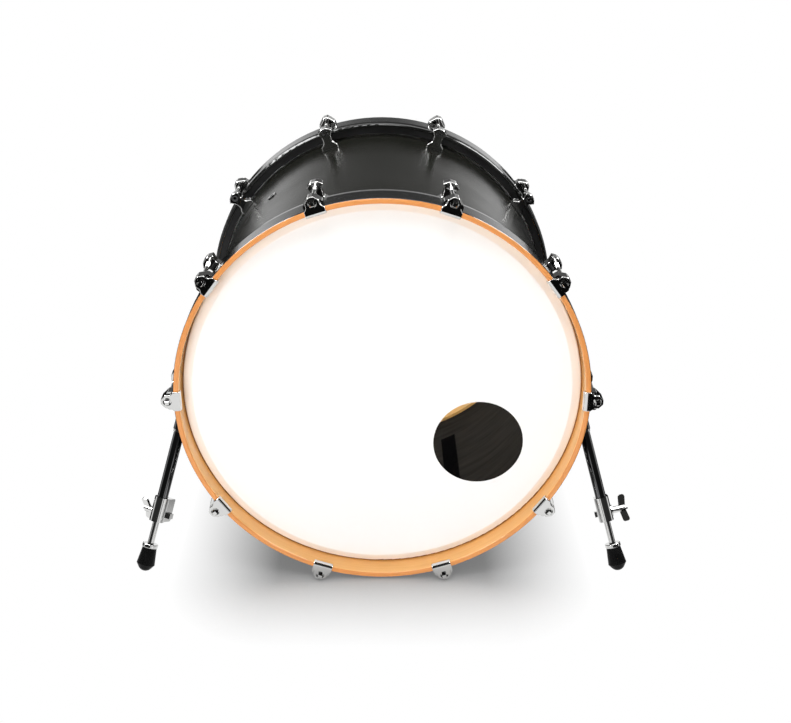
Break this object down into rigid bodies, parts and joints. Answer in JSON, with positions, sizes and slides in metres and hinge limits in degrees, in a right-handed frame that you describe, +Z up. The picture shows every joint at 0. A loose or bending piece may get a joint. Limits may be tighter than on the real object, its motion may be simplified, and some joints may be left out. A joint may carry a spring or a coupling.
{
  "type": "bass drum",
  "caption": "Bass drum on folding telescopic spurs, with a wooden shell, wooden counterhoops held by claws and key rods, and a white front head with an offset round port.",
  "frame": {"origin": "on the floor, under the middle of the drum, at half its depth", "axes": "+Y along the drum axis from the front head to the batter head, +X to the right seen from the front, +Z up"},
  "size_m": [0.7642, 0.5254, 0.6024],
  "materials": {
    "shell_lacquer": "satin charcoal lacquer over wood",
    "hoop_wood": "natural maple edge and inside, black lacquer outside",
    "brace_wood": "clear maple",
    "head_film": "white coated film",
    "flesh_metal": "satin, black anodised",
    "chrome_hardware": "polished chrome",
    "gasket_black": "matt",
    "nut_steel": "dark plated",
    "screw_steel": "zinc plated",
    "vent_black": "black",
    "strip_black": "hook strip",
    "spur_black": "polished, black nickel plate",
    "foot_rubber": "matt rubber"
  },
  "bodies": {
    "drum": {"shell": "shell_lacquer", "reinforcement_rings": "brace_wood", "front_counterhoop": "hoop_wood", "rear_counterhoop": "hoop_wood", "front_head_film": "head_film", "front_flesh_hoop": "flesh_metal", "batter_head_film": "head_film", "batter_flesh_hoop": "flesh_metal", "front_claws": "chrome_hardware", "rear_claws": "chrome_hardware", "front_lugs": "chrome_hardware", "rear_lugs": "chrome_hardware", "lug_gaskets": "gasket_black", "lug_screws": "screw_steel", "swivel_nuts": "nut_steel", "rod_washers": "screw_steel", "vent_grommet": "vent_black", "hook_strip": "strip_black", "left_spur_bracket": "spur_black", "right_spur_bracket": "spur_black", "spur_pivot_bolts": "spur_black", "spur_bracket_screws": "screw_steel"},
    "front_rod_01": {"front_tension_rod_01": "chrome_hardware"},
    "front_rod_02": {"front_tension_rod_02": "chrome_hardware"},
    "front_rod_03": {"front_tension_rod_03": "chrome_hardware"},
    "front_rod_04": {"front_tension_rod_04": "chrome_hardware"},
    "front_rod_05": {"front_tension_rod_05": "chrome_hardware"},
    "front_rod_06": {"front_tension_rod_06": "chrome_hardware"},
    "front_rod_07": {"front_tension_rod_07": "chrome_hardware"},
    "front_rod_08": {"front_tension_rod_08": "chrome_hardware"},
    "front_rod_09": {"front_tension_rod_09": "chrome_hardware"},
    "front_rod_10": {"front_tension_rod_10": "chrome_hardware"},
    "rear_rod_01": {"rear_tension_rod_01": "chrome_hardware"},
    "rear_rod_02": {"rear_tension_rod_02": "chrome_hardware"},
    "rear_rod_03": {"rear_tension_rod_03": "chrome_hardware"},
    "rear_rod_04": {"rear_tension_rod_04": "chrome_hardware"},
    "rear_rod_05": {"rear_tension_rod_05": "chrome_hardware"},
    "rear_rod_06": {"rear_tension_rod_06": "chrome_hardware"},
    "rear_rod_07": {"rear_tension_rod_07": "chrome_hardware"},
    "rear_rod_08": {"rear_tension_rod_08": "chrome_hardware"},
    "rear_rod_09": {"rear_tension_rod_09": "chrome_hardware"},
    "rear_rod_10": {"rear_tension_rod_10": "chrome_hardware"},
    "right_spur": {"right_spur_knuckle": "spur_black", "right_spur_ring": "chrome_hardware", "right_spur_tube": "spur_black", "right_spur_clamp": "chrome_hardware", "right_clamp_bolt": "chrome_hardware"},
    "right_spur_slider": {"right_spur_rod": "chrome_hardware", "right_foot_flange": "chrome_hardware"},
    "right_wing": {"right_wing_nut": "chrome_hardware"},
    "right_foot": {"right_rubber_foot": "foot_rubber"},
    "left_spur": {"left_spur_knuckle": "spur_black", "left_spur_ring": "chrome_hardware", "left_spur_tube": "spur_black", "left_spur_clamp": "chrome_hardware", "left_clamp_bolt": "chrome_hardware"},
    "left_spur_slider": {"left_spur_rod": "chrome_hardware", "left_foot_flange": "chrome_hardware"},
    "left_wing": {"left_wing_nut": "chrome_hardware"},
    "left_foot": {"left_rubber_foot": "foot_rubber"}
  },
  "joints": [
    {"name": "front_rod_01_spin", "type": "hinge", "parent": "drum", "child": "front_rod_01", "pos_m": [0.09478, -0.2537, 0.59287], "axis": [0, -1, 0], "continuous": true},
    {"name": "front_rod_02_spin", "type": "hinge", "parent": "drum", "child": "front_rod_02", "pos_m": [0.24813, -0.2537, 0.48146], "axis": [0, -1, 0], "continuous": true},
    {"name": "front_rod_03_spin", "type": "hinge", "parent": "drum", "child": "front_rod_03", "pos_m": [0.3067, -0.2537, 0.30119], "axis": [0, -1, 0], "continuous": true},
    {"name": "front_rod_04_spin", "type": "hinge", "parent": "drum", "child": "front_rod_04", "pos_m": [0.24813, -0.2537, 0.12091], "axis": [0, -1, 0], "continuous": true},
    {"name": "front_rod_05_spin", "type": "hinge", "parent": "drum", "child": "front_rod_05", "pos_m": [0.09478, -0.2537, 0.0095], "axis": [0, -1, 0], "continuous": true},
    {"name": "front_rod_06_spin", "type": "hinge", "parent": "drum", "child": "front_rod_06", "pos_m": [-0.09478, -0.2537, 0.0095], "axis": [0, -1, 0], "continuous": true},
    {"name": "front_rod_07_spin", "type": "hinge", "parent": "drum", "child": "front_rod_07", "pos_m": [-0.24813, -0.2537, 0.12091], "axis": [0, -1, 0], "continuous": true},
    {"name": "front_rod_08_spin", "type": "hinge", "parent": "drum", "child": "front_rod_08", "pos_m": [-0.3067, -0.2537, 0.30119], "axis": [0, -1, 0], "continuous": true},
    {"name": "front_rod_09_spin", "type": "hinge", "parent": "drum", "child": "front_rod_09", "pos_m": [-0.24813, -0.2537, 0.48146], "axis": [0, -1, 0], "continuous": true},
    {"name": "front_rod_10_spin", "type": "hinge", "parent": "drum", "child": "front_rod_10", "pos_m": [-0.09478, -0.2537, 0.59287], "axis": [0, -1, 0], "continuous": true},
    {"name": "rear_rod_01_spin", "type": "hinge", "parent": "drum", "child": "rear_rod_01", "pos_m": [-0.09478, 0.2537, 0.59287], "axis": [0, 1, 0], "continuous": true},
    {"name": "rear_rod_02_spin", "type": "hinge", "parent": "drum", "child": "rear_rod_02", "pos_m": [-0.24813, 0.2537, 0.48146], "axis": [0, 1, 0], "continuous": true},
    {"name": "rear_rod_03_spin", "type": "hinge", "parent": "drum", "child": "rear_rod_03", "pos_m": [-0.3067, 0.2537, 0.30119], "axis": [0, 1, 0], "continuous": true},
    {"name": "rear_rod_04_spin", "type": "hinge", "parent": "drum", "child": "rear_rod_04", "pos_m": [-0.24813, 0.2537, 0.12091], "axis": [0, 1, 0], "continuous": true},
    {"name": "rear_rod_05_spin", "type": "hinge", "parent": "drum", "child": "rear_rod_05", "pos_m": [-0.09478, 0.2537, 0.0095], "axis": [0, 1, 0], "continuous": true},
    {"name": "rear_rod_06_spin", "type": "hinge", "parent": "drum", "child": "rear_rod_06", "pos_m": [0.09478, 0.2537, 0.0095], "axis": [0, 1, 0], "continuous": true},
    {"name": "rear_rod_07_spin", "type": "hinge", "parent": "drum", "child": "rear_rod_07", "pos_m": [0.24813, 0.2537, 0.12091], "axis": [0, 1, 0], "continuous": true},
    {"name": "rear_rod_08_spin", "type": "hinge", "parent": "drum", "child": "rear_rod_08", "pos_m": [0.3067, 0.2537, 0.30119], "axis": [0, 1, 0], "continuous": true},
    {"name": "rear_rod_09_spin", "type": "hinge", "parent": "drum", "child": "rear_rod_09", "pos_m": [0.24813, 0.2537, 0.48146], "axis": [0, 1, 0], "continuous": true},
    {"name": "rear_rod_10_spin", "type": "hinge", "parent": "drum", "child": "rear_rod_10", "pos_m": [0.09478, 0.2537, 0.59287], "axis": [0, 1, 0], "continuous": true},
    {"name": "right_spur_fold", "type": "hinge", "parent": "drum", "child": "right_spur", "pos_m": [0.30196, -0.14144, 0.23607], "axis": [0.9632, 0, 0.2689], "range_deg": [0, 110.34]},
    {"name": "right_spur_extend", "type": "slide", "parent": "right_spur", "child": "right_spur_slider", "axis": [0.2521, -0.3476, -0.9031], "range_m": [-0.03, 0.06]},
    {"name": "right_wing_spin", "type": "hinge", "parent": "right_spur", "child": "right_wing", "pos_m": [0.35652, -0.18698, 0.08042], "axis": [0.9632, 0, 0.2689], "continuous": true},
    {"name": "right_foot_spin", "type": "hinge", "parent": "right_spur_slider", "child": "right_foot", "pos_m": [0.3581, -0.21884, 0.03494], "axis": [0.2521, -0.3476, -0.9031], "continuous": true},
    {"name": "left_spur_fold", "type": "hinge", "parent": "drum", "child": "left_spur", "pos_m": [-0.30196, -0.14144, 0.23607], "axis": [0.9632, 0, -0.2689], "range_deg": [0, 110.34]},
    {"name": "left_spur_extend", "type": "slide", "parent": "left_spur", "child": "left_spur_slider", "axis": [-0.2521, -0.3476, -0.9031], "range_m": [-0.03, 0.06]},
    {"name": "left_wing_spin", "type": "hinge", "parent": "left_spur", "child": "left_wing", "pos_m": [-0.34847, -0.18379, 0.07695], "axis": [-0.8809, 0.4688, 0.0655], "continuous": true},
    {"name": "left_foot_spin", "type": "hinge", "parent": "left_spur_slider", "child": "left_foot", "pos_m": [-0.3581, -0.21884, 0.03494], "axis": [-0.2521, -0.3476, -0.9031], "continuous": true}
  ]
}
